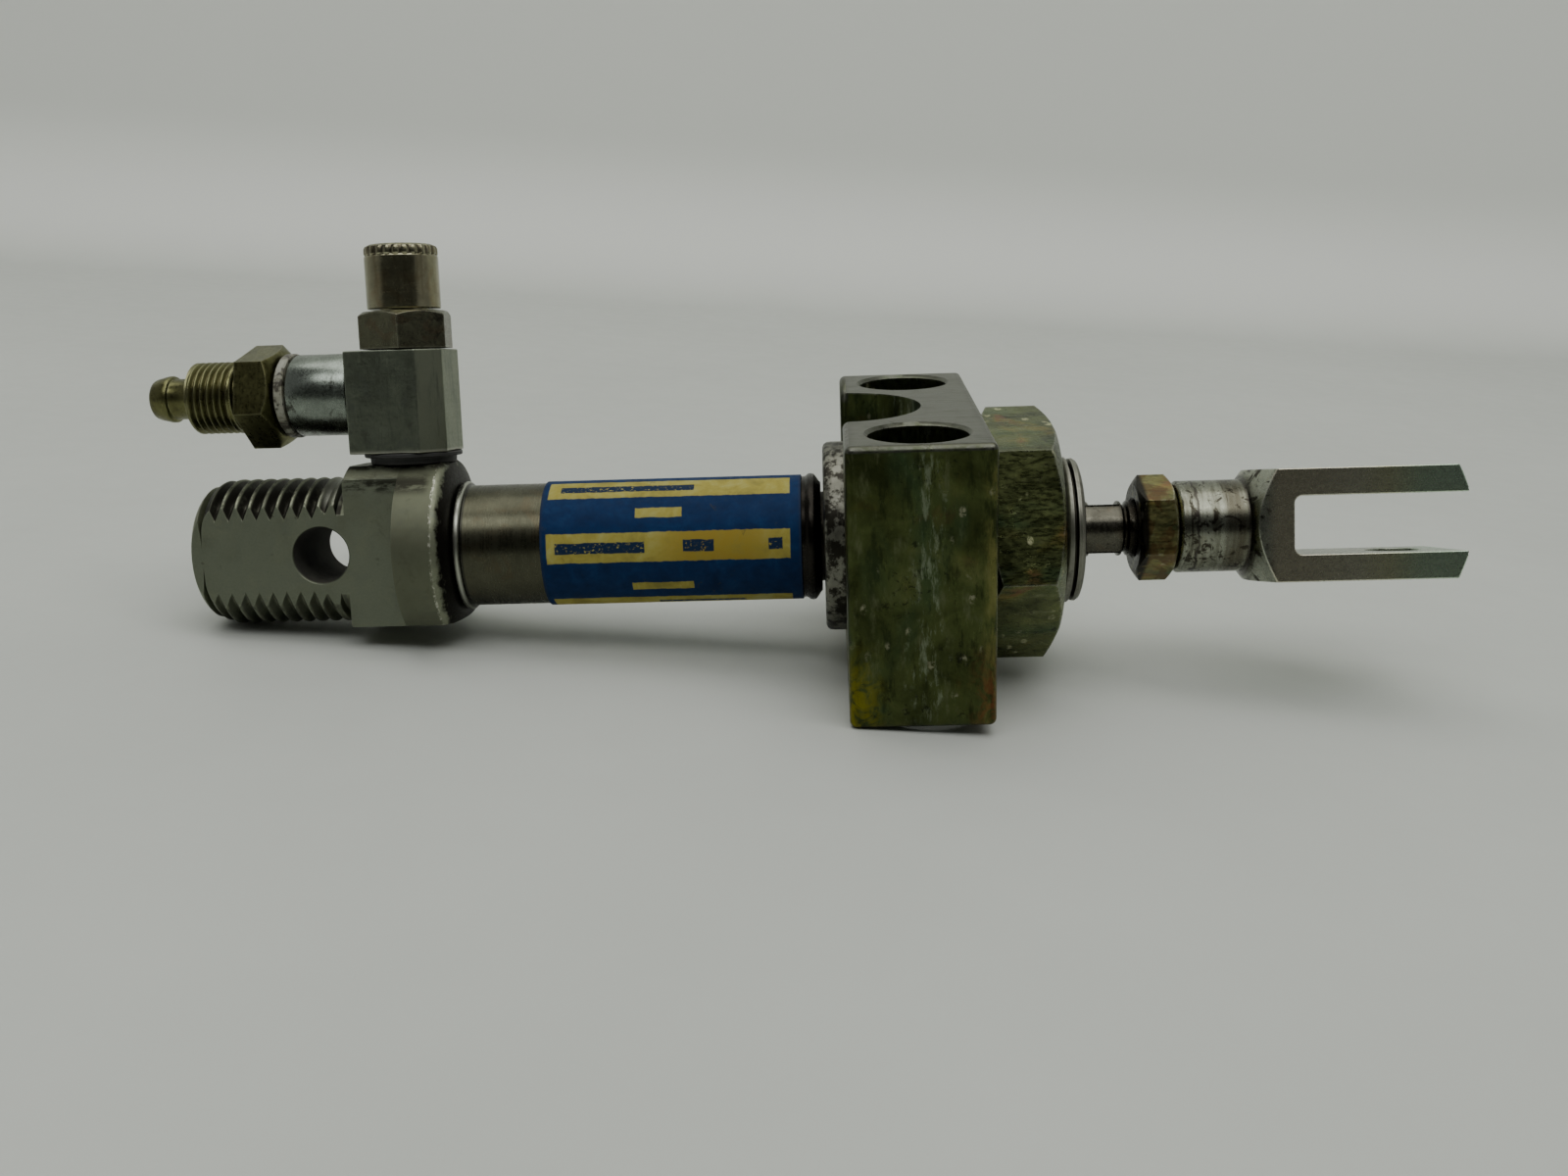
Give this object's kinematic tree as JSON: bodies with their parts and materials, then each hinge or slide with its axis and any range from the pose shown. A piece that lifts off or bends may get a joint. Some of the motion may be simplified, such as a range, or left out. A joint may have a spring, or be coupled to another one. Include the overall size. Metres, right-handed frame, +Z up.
{
  "type": "pneumatic cylinder",
  "caption": "Small single-acting pneumatic cylinder in a foot block, with a rod clevis, rear eye, swivel air connection and silencer.",
  "frame": {"origin": "centre of the mounting block's bottom face", "axes": "+X along the cylinder towards the rod clevis, +Y across the block away from the viewer, +Z up through the block's bolt holes"},
  "size_m": [0.1419, 0.042, 0.0473],
  "materials": {
    "block_zinc": "yellow passivated zinc, ground bare on top",
    "locknut_zinc": "yellow passivated zinc",
    "barrel_steel": "satin",
    "label_blue": "printed film, cream panels",
    "rear_cap_aluminium": "matte, dirt in the threads",
    "front_cap_aluminium": "satin",
    "bush_bronze": "sintered",
    "wiper_rubber": "matte",
    "rear_oring_rubber": "matte",
    "front_oring_rubber": "matte",
    "rear_buffer_polyurethane": "matte",
    "front_buffer_polyurethane": "matte",
    "piston_aluminium": "turned",
    "piston_seal_rubber": "matte",
    "guide_acetal": "smooth",
    "rod_steel": "ground",
    "spring_steel": "drawn wire",
    "jam_nut_zinc": "yellow passivated zinc",
    "clevis_zinc": "bright zinc with dirt",
    "valve_nickel": "satin nickel plate",
    "neck_nickel": "nickel plate",
    "hollow_screw_nickel": "worn nickel plate",
    "silencer_nickel": "worn nickel plate",
    "silencer_bronze": "sintered",
    "port_washer_rubber": "matte",
    "hose_fitting_brass": "turned brass",
    "seal_ring_plastic": "smooth"
  },
  "bodies": {
    "cylinder": {"mounting_block": "block_zinc", "cap_locknut": "locknut_zinc", "barrel": "barrel_steel", "type_label": "label_blue", "rear_cap": "rear_cap_aluminium", "front_cap": "front_cap_aluminium", "rod_bearing_bush": "bush_bronze", "rod_wiper": "wiper_rubber", "rear_cap_oring": "rear_oring_rubber", "front_cap_oring": "front_oring_rubber", "rear_buffer": "rear_buffer_polyurethane", "front_buffer": "front_buffer_polyurethane", "return_spring": "spring_steel", "hollow_screw": "hollow_screw_nickel", "silencer_body": "silencer_nickel", "silencer_insert": "silencer_bronze", "port_washer": "port_washer_rubber"},
    "piston_seals": {"piston_seal": "piston_seal_rubber", "piston_guide_ring": "guide_acetal"},
    "rod": {"piston": "piston_aluminium", "piston_rod": "rod_steel", "rod_jam_nut": "jam_nut_zinc", "rod_clevis": "clevis_zinc"},
    "valve": {"valve_body": "valve_nickel", "valve_neck": "neck_nickel", "fitting_seal_ring": "seal_ring_plastic", "hose_fitting": "hose_fitting_brass"}
  },
  "joints": [
    {"name": "rod_slide", "type": "slide", "parent": "cylinder", "child": "piston_seals", "axis": [1, 0, 0], "range_m": [0, 0.01], "stiffness_N_per_m": 400, "springref_m": -0.012, "deforming": ["return_spring"]},
    {"name": "rod_turn", "type": "hinge", "parent": "piston_seals", "child": "rod", "pos_m": [0, 0, 0.0143], "axis": [1, 0, 0], "continuous": true},
    {"name": "valve_swivel", "type": "hinge", "parent": "cylinder", "child": "valve", "pos_m": [-0.05445, 0, 0.0143], "axis": [0, 0.1564, 0.9877], "continuous": true}
  ]
}
